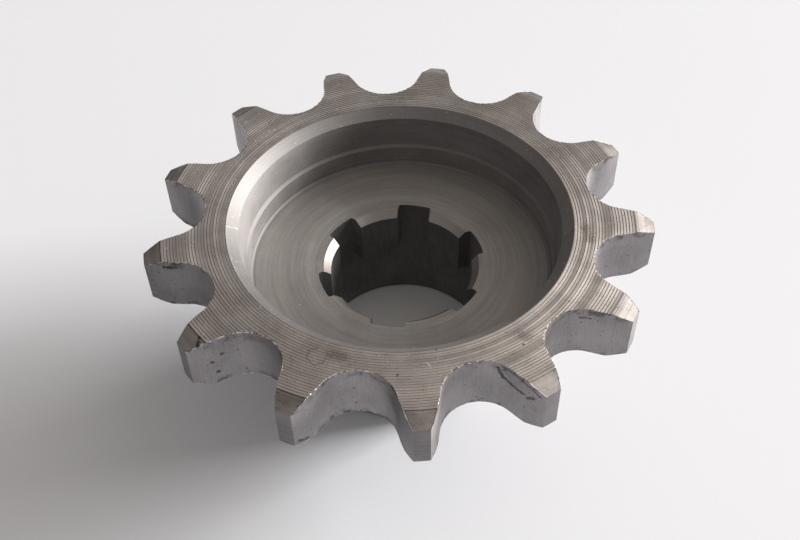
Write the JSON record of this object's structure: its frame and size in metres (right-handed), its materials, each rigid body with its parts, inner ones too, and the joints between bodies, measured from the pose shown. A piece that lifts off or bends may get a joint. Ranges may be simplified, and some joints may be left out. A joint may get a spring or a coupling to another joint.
{
  "type": "chain sprocket",
  "caption": "Turned steel roller-chain sprocket with bevelled teeth, a dished face and a thin-walled hub with a splined bore.",
  "frame": {"origin": "on the bore's axis at the end face of the hub, on which the sprocket stands", "axes": "+Z along the bore from the hub's end towards the dished face; one tooth and one spline slot point along +Y"},
  "size_m": [0.0574, 0.057, 0.023],
  "materials": {
    "steel": "bare turned steel with fine concentric tool marks"
  },
  "bodies": {
    "root": {"sprocket": "steel"}
  },
  "joints": []
}
